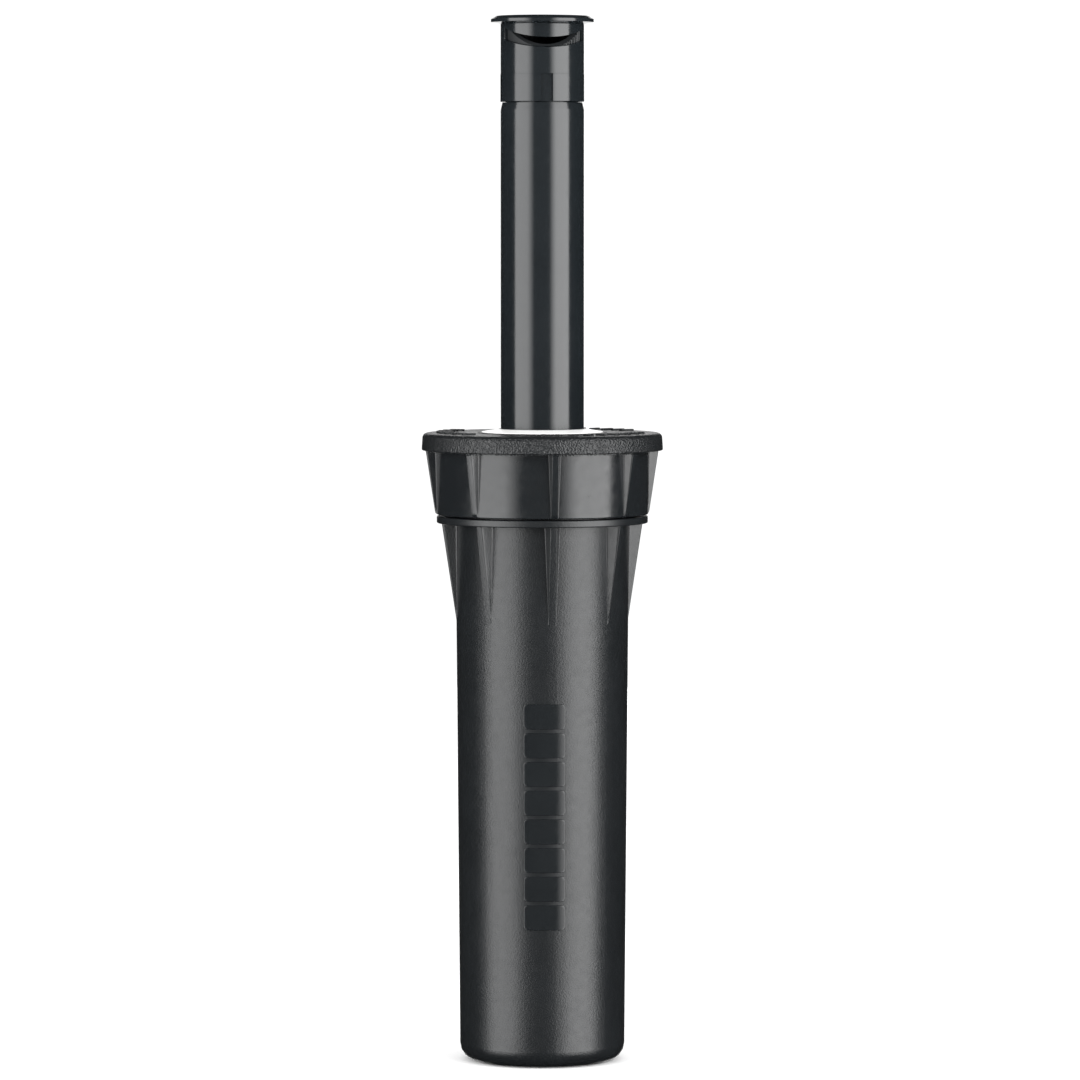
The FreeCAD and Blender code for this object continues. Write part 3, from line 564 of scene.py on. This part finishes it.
def housingGrid():
    wallTop = body["base"] + body["draft"] * body["collar"]
    ribR = body["base"] + body["draft"] * body["ribFoot"]
    guideShare = (body["guideTop"] - body["floor"]) / (body["throatZ"] - body["floor"])
    guideR = body["bore"] + (body["throat"] - body["bore"]) * guideShare
    rows, run = section([
        (body["inlet"] + body["chamfer"], 0), (body["base"], 0, body["baseRound"], 8),
        (ribR, body["ribFoot"], 0, 0.9), (wallTop, body["collar"], 0, 0.6),
        (body["collarR"], body["collar"], body["edge"]), (body["collarR"], body["collarTop"], body["edge"]),
        (body["neck"], body["collarTop"], 0, 0.19), (body["neck"], body["mouth"], body["edge"]),
        (body["mouthR"], body["mouth"], body["edge"]), (body["mouthR"], body["collarTop"]),
        (body["throat"], body["throatZ"]), (guideR, body["guideTop"], 0, 6),
        (body["bore"], body["floor"], body["edge"]), (body["boss"], body["floor"], body["edge"]),
        (body["boss"], body["bossTop"], body["edge"]), (body["inlet"], body["bossTop"], 0, 0.16),
        (body["inlet"], body["chamfer"])])
    r, z = rows[:, 0], rows[:, 1]
    odd = np.arange(8) % 2
    # outer ribs: the height grows evenly with z, and spends itself across the collar's underside
    ribLength = body["ribEnd"] - body["ribFoot"]
    height = body["ribHeight"] * np.clip((z - body["ribFoot"]) / ribLength, 0, 1)
    across = np.clip((r - wallTop) / (body["collarR"] - body["edge"] - wallTop), 0, 1)
    outer = np.where((run == 2) | (run == 3), height * (1 - across), 0)
    top = body["ribHeight"] * (body["collar"] - body["ribFoot"]) / ribLength
    flank = body["ribDraft"] * np.where(run == 2, height, top)
    # guide ribs: to one radius on the wall, and the rest of the way shared out over the floor
    guide = (run == 11) & (z < body["guideTop"] - 0.01) | (run == 12) & (z > body["floor"] + 1e-6)
    inner = np.where(guide, body["guideR"] - r, 0)
    floor = ((run == 12) | (run == 13)) & (z < body["floor"] + 1e-6)
    flat = (r - body["boss"] - body["edge"]) / (body["bore"] - body["boss"] - 2 * body["edge"])
    reach = body["guideR"] - body["bore"] + body["edge"]
    inner = np.where(floor, reach * np.clip(flat, 0, 1), inner)
    # webs: the floor goes up to their top, and the walls beside it are squeezed in above
    web = body["webTop"] - body["floor"]
    lift = np.where(floor, web, 0)
    above = z - body["floor"]
    lift = np.where((run == 13) & ~floor, web * np.clip(1 - above / body["bossSqueeze"], 0, 1), lift)
    wall = (run == 11) | (run == 12) & ~floor
    lift = np.where(wall, web * np.clip(1 - above / body["wallSqueeze"], 0, 1), lift)
    outside = (run >= 2) & (run <= 4)
    halfTop = np.where(outside, body["ribHalf"], body["guideHalf"])
    flank = np.where(outside, np.maximum(flank, leastFlank), leastFlank)
    rise = outer[:, None] + inner[:, None] * odd
    grid = ribbedAround(rows, halfTop, flank, rise, lift)
    grid = threaded(grid, (run == 6) & (z > body["collarTop"] + threadMargin), neckThread)
    return threaded(grid, run == 15, inletThread)


addPiece(shellMesh("housingShell", housingGrid()), "housing", blackHousing, "housing")

# eight plain raised bars up the front, each a rounded pad bent to the wall: its width becomes an angle
bars = {
    "count": 8, "start": 32.9, "pitch": 6.75, "width": 9.5, "height": 5.85, "corner": 0.7, "angle": -95.0,
    "rise": 0.25, "bevel": 0.12,
}


def barGrids():
    pad = padLoops(bars, bars["width"], bars["height"])
    middle = bars["start"] + bars["height"] / 2 + bars["pitch"] * np.arange(bars["count"])
    z = pad[..., 1] + middle[:, None, None]
    angle = math.radians(bars["angle"]) + pad[..., 0] / body["base"]
    r = body["base"] + body["draft"] * z + pad[..., 2]
    return np.stack([r * np.cos(angle), r * np.sin(angle), z], -1)


addPiece(shellMesh("housingBars", barGrids(), poles=True), "housing", blackBars)
print("housing made")

# cap: pebbled rim, glossy skirt with eight ribs, inner thread, and the pocket that holds the seal
lid = {
    "seat": 14.37, "seatTop": 148.98, "lip": 15.27, "seatZ": 145.71, "hole": 12.65, "holeZ": 143.7,
    "pocket": 17.42, "pocketZ": 139.91, "pocketR": 18.77, "plate": 146.53, "root": 23.456, "foot": 129.58,
    "skirt": 25.106, "skirtTop": 25.356, "rimZ": 144.73, "rim": 28.556, "rimTop": 28.306, "top": 148.83,
    "rimRound": 1.2, "edge": 0.3, "seatRound": 0.1, "ribHalf": 0.775, "ribLow": 0.3, "ribHigh": 2.4,
    "ribAtRim": 2.32, "ribFoot": 129.88, "ribEnd": 145.33, "ribDraft": 0.24, "toe": 0.3, "toeBelow": 0.2,
}
lidThread = {**neckThread, "start": 133.83, "depth": -0.9}  # the same turns, cut inwards


def capGrid():
    rows, run = section([
        (lid["seat"], lid["seatTop"], lid["seatRound"]), (lid["seat"], lid["seatZ"]),
        (lid["hole"], lid["seatZ"]), (lid["hole"], lid["holeZ"]),
        (lid["pocket"], lid["holeZ"]), (lid["pocket"], lid["pocketZ"], lid["edge"]),
        (lid["pocketR"], lid["pocketZ"], lid["edge"]), (lid["pocketR"], lid["plate"], lid["edge"]),
        (lid["root"], lid["plate"], lid["edge"], 0.19), (lid["root"], lid["foot"], lid["edge"]),
        (lid["skirt"], lid["foot"], lid["edge"], 0.8), (lid["skirtTop"], lid["rimZ"], 0, 0.5),
        (lid["rim"], lid["rimZ"], lid["edge"], 0.6), (lid["rimTop"], lid["top"], lid["rimRound"], 2.5),
        (lid["lip"], lid["top"]), (lid["lip"], lid["seatTop"], lid["seatRound"])], arcSteps=6)
    r, z = rows[:, 0], rows[:, 1]
    # ribs: the height starts over a short toe, grows evenly with z, and spends itself under the rim
    grown = (z - lid["ribFoot"]) / (lid["ribEnd"] - lid["ribFoot"])
    height = lid["ribLow"] + (lid["ribHigh"] - lid["ribLow"]) * grown
    height = height * np.clip((z - lid["ribFoot"] + lid["toeBelow"]) / lid["toe"], 0, 1)
    across = np.clip((r - lid["skirtTop"]) / (lid["rim"] - lid["edge"] - lid["skirtTop"]), 0, 1)
    rise = np.where(run == 10, height, np.where(run == 11, height * (1 - across), 0))
    flank = np.maximum(lid["ribDraft"] * np.where(run == 10, height, lid["ribAtRim"]), leastFlank)
    grid = ribbedAround(rows, np.full(len(r), lid["ribHalf"]), flank, rise[:, None] * np.ones(8), 0 * r)
    return threaded(grid, (run == 8) & (z < lid["plate"] - threadMargin), lidThread)


addPiece(shellMesh("screwCap", capGrid()), "cap", blackCap, "cap")

# three arcs of nine plain ticks on the cap's top
ticks = {
    "length": 3.6, "width": 1.1, "corner": 0.15, "outer": 25.106, "count": 9, "step": 9.0,
    "arcs": (-60, 60, 180), "rise": 0.45, "bevel": 0.15,
}


def tickGrids():
    pad = padLoops(ticks, ticks["length"], ticks["width"])
    place = np.arange(ticks["count"]) - (ticks["count"] - 1) / 2
    angle = np.radians([arc + ticks["step"] * k for arc in ticks["arcs"] for k in place])[:, None, None]
    x, y = ticks["outer"] - ticks["length"] / 2 + pad[..., 0], pad[..., 1]
    z = lid["top"] + pad[..., 2] + 0 * angle
    cos, sin = np.cos(angle), np.sin(angle)
    return np.stack([x * cos - y * sin, x * sin + y * cos, z], -1)


addPiece(shellMesh("capTicks", tickGrids(), poles=True), "cap", blackCap)
print("cap made")

# turned pieces: closed outlines of (r, z, corner radius, row step)
turnedPieces = {
    "guide_ring": ("cap", whitePlastic, [
        (9.91, 145.73), (14.35, 145.73, 0.3), (14.35, 149.13, 0.15), (10.36, 149.78, 0.15),
        (9.91, 149.33)]),
    "wiper_seal": ("seal_carrier", blackRubber, [
        (9.91, 142.38), (10.21, 142.08), (17.4, 142.08), (17.4, 143.68), (12.35, 143.68),
        (10.51, 145.43, 0.15), (9.91, 145.43), (10.21, 144.555), (10.21, 142.88)]),
    "spring_seat": ("seal_carrier", greyPlastic, [
        (10.45, 140.66), (12.35, 140.66), (12.35, 139.41), (13.35, 139.41, 0.3), (13.35, 140.66),
        (17.4, 140.66, 0.3), (17.4, 142.06), (10.45, 142.06, 0.3)]),
    "cap_gasket": ("housing", blackRubber, [
        (19.866, 145.75, 0.15), (22.236, 145.75, 0.15), (22.236, 146.51, 0.15), (19.866, 146.51, 0.15)]),
    "riser_tube": ("riser", blackGloss, [
        (8.15, 115.47), (9.85, 115.47, 0.3, 9), (9.85, 224.98), (9.45, 226.68), (7.95, 226.68, 0, 0.14),
        (7.95, 235.68, 0.3), (6.9, 235.68), (6.9, 224.98), (8.15, 221.98, 0, 9)]),
    "check_seal": ("riser", redRubber, [
        (7.18, 110.85, 0.3), (14.6, 110.85, 0.3), (14.6, 113.05, 0.3), (7.18, 113.05, 0.3)]),
    "seal_retainer": ("riser", greyPlastic, [
        (5.68, 109.63, 0.3), (9.48, 109.63, 0.3), (9.48, 110.83), (6.88, 110.83), (6.88, 118.83, 0.3),
        (5.68, 118.83)]),
}
plugThread = {  # on the riser's tip
    "start": 228.48, "pitch": 1.8, "turns": 3.6, "depth": 0.45, "base": 0.8, "crest": 0.4, "fade": 0.12,
    "from": 227,
}
for node, (rider, material, corners) in turnedPieces.items():
    rows, run = section(corners)
    grid = around(rows)
    if node == "riser_tube":
        grid = threaded(grid, (run == 4) & (rows[:, 1] > plugThread["from"]), plugThread)
    addPiece(shellMesh(node + "Turned", grid), rider, material, node)
print("turned pieces made")

# pieces with cuts and teeth keep the CAD's shape
cutPieces = {
    "flush_plug": ("plug", blackPlug),
    "ratchet_ring": ("ratchet", greyPlastic),
    "riser_foot": ("riser", darkPlastic),
    "filter_frame": ("filter", darkPlastic),
}
for node, (rider, material) in cutPieces.items():
    addPiece(copyOfNode(node + "Moulded", node), rider, material, node)
print("moulded pieces made")

# spring: an even helix. Each ring of points goes along with one share of the travel, which is 1 at the
# ratchet ring and 0 at the seat, and stays so over the first and last half turn.
coil = {
    "radius": 11.4, "wire": 1.3, "turns": 12, "pitch": 1.36, "low": 123.67, "steps": 64, "sides": 14,
    "flat": 0.5,
}


def makeSpring():
    share = np.linspace(0, 1, coil["turns"] * coil["steps"] + 1)
    angle = share * coil["turns"] * turn
    height = coil["low"] + share * coil["turns"] * coil["pitch"]
    path = np.stack([coil["radius"] * np.cos(angle), coil["radius"] * np.sin(angle), height], -1)
    mesh = wiresMesh("retractSpring", path[None], coil["wire"] / 2, coil["sides"])
    spring = addPiece(mesh, None, steelWire, "retract_spring")
    top = Vector((0, 0, height[-1] * mm))
    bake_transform(spring, "seal_carrier", "ratchet", start=top, end=Vector((0, 0, coil["low"] * mm)))
    flat = coil["flat"] / coil["turns"]
    weight = np.repeat(np.clip((1 - flat - share) / (1 - 2 * flat), 0, 1), coil["sides"])
    mesh.attributes["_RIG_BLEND"].data.foreach_set("value", weight.astype(np.float32))


makeSpring()

# filter screen: long wires and hoops that pass over and under each other by a cosine of the crossing's
# number
weave = {"long": 56, "hoops": 66, "wire": 0.07, "wave": 0.055, "inset": 0.125, "margin": 0.15, "sides": 5}


def makeScreen():
    outer, low, high = sizeOf("filter_mesh")
    middle = outer - weave["inset"]
    low, high = low + weave["margin"], high - weave["margin"]
    hoop = np.arange(weave["hoops"])[:, None]
    step = np.arange(2 * weave["long"])[None]
    angle = step * turn / (2 * weave["long"])
    r = middle - weave["wave"] * np.cos(turn / 2 * (step / 2 + hoop))
    z = low + (high - low) * (hoop + 0.5) / weave["hoops"] + 0 * angle
    hoops = np.stack([r * np.cos(angle), r * np.sin(angle), z], -1)
    wire = np.arange(weave["long"])[:, None]
    step = np.arange(2 * weave["hoops"] + 1)[None]
    angle = wire * turn / weave["long"] + 0 * step
    r = middle + weave["wave"] * np.cos(turn / 2 * ((step - 1) / 2 + wire))
    z = low + (high - low) * step / (2 * weave["hoops"]) + 0 * angle
    wires = np.stack([r * np.cos(angle), r * np.sin(angle), z], -1)
    hoopMesh = wiresMesh("screenHoops", hoops, weave["wire"], weave["sides"], closed=True)
    wireMesh = wiresMesh("screenWires", wires, weave["wire"], weave["sides"])
    addPiece(hoopMesh, "filter", screenPlastic, "filter_mesh")
    addPiece(wireMesh, "filter", screenPlastic)


makeScreen()
print("spring and screen made")


studio = {
    "target": (-0.55, 123.4), "eye": 201.0, "distance": 1399.0, "azimuth": -6.5, "lens": 197.3,
    "floor": 6000.0, "floorDark": (0.93, 0.93, 0.93), "floorLight": (0.95, 0.95, 0.95),
    "ambient": 1.12, "gloss": 0.02,  # the room's light on matt surfaces, and what gloss sees of it
}
softboxes = {
    # azimuth from the camera's side, width, height, distance, height of the middle, radiance, fade
    "leftBox": (-52.0, 985, 1200, 900, 130, 4.6, (1.0, 0.68)),
    "rightBox": (49.0, 1000, 1200, 900, 130, 5.9, (0.0, 0.32)),
    "frontFill": (-1.0, 600, 1200, 900, 130, 0.12, None),
    "backPanel": (180.0, 430, 1500, 1100, 200, 1.5, None),
}


def atAzimuth(azimuth, distance, height):
    a = math.radians(azimuth)
    return (math.sin(a) * distance * mm, -math.cos(a) * distance * mm, height * mm)


def aimed(obj, target):
    direction = Vector(target) - obj.location
    obj.rotation_euler = direction.to_track_quat("-Z", "Y").to_euler()


def makeFloor():
    size = studio["floor"] * mm / 2
    mesh = bpy.data.meshes.new("floor")
    corners = [(-size, -size, 0), (size, -size, 0), (size, size, 0), (-size, size, 0)]
    mesh.from_pydata(corners, [], [(0, 1, 2, 3)])
    floor = bpy.data.objects.new("floor", mesh)
    bpy.context.scene.collection.objects.link(floor)
    material, nodes, links, shader = nodesOf("paleFloor")
    place = nodes.new("ShaderNodeTexCoord").outputs["Object"]
    patches = noise(nodes, links, place, 3.0)
    tinted(nodes, links, shader, patches, studio["floorDark"], studio["floorLight"])
    shader.inputs["Roughness"].default_value = 0.9
    shader.inputs["Specular IOR Level"].default_value = 0
    mesh.materials.append(material)
    floor.visible_glossy = False


def faded(data, fade):
    # the light comes up evenly from one place across its width to another
    data.use_nodes = True
    nodes, links = data.node_tree.nodes, data.node_tree.links
    across = nodes.new("ShaderNodeSeparateXYZ")
    links.new(nodes.new("ShaderNodeNewGeometry").outputs["Parametric"], across.inputs[0])
    ramp = nodes.new("ShaderNodeMapRange")
    ramp.inputs["From Min"].default_value, ramp.inputs["From Max"].default_value = fade
    links.new(across.outputs["X"], ramp.inputs["Value"])
    links.new(ramp.outputs["Result"], nodes["Emission"].inputs["Strength"])


def makeLights():
    for name, (azimuth, width, height, distance, middle, radiance, fade) in softboxes.items():
        data = bpy.data.lights.new(name, "AREA")
        data.shape = "RECTANGLE"
        data.size, data.size_y = width * mm, height * mm
        data.energy = radiance * math.pi * data.size * data.size_y
        lamp = bpy.data.objects.new(name, data)
        bpy.context.scene.collection.objects.link(lamp)
        lamp.location = atAzimuth(azimuth + studio["azimuth"], distance, middle)
        aimed(lamp, (0, 0, middle * mm))
        lamp.visible_camera = False
        if fade:
            faded(data, fade)
    world = bpy.data.worlds.new("studio")
    bpy.context.scene.world = world
    world.use_nodes = True
    nodes, links = world.node_tree.nodes, world.node_tree.links
    path = nodes.new("ShaderNodeLightPath")
    strength = nodes.new("ShaderNodeMapRange")
    strength.inputs["To Min"].default_value = studio["ambient"]
    strength.inputs["To Max"].default_value = studio["gloss"]
    links.new(path.outputs["Is Glossy Ray"], strength.inputs["Value"])
    links.new(strength.outputs["Result"], nodes["Background"].inputs["Strength"])
    nodes["Background"].inputs["Color"].default_value = (1, 1, 1, 1)


def makeCamera():
    data = bpy.data.cameras.new("camera")
    data.lens = studio["lens"]
    camera = bpy.data.objects.new("camera", data)
    bpy.context.scene.collection.objects.link(camera)
    camera.location = atAzimuth(studio["azimuth"], studio["distance"], studio["eye"])
    aimed(camera, (studio["target"][0] * mm, 0, studio["target"][1] * mm))
    bpy.context.scene.camera = camera


makeFloor()
makeLights()
makeCamera()
bpy.context.scene.view_settings.view_transform = "Standard"
print("floor, lights and camera made")
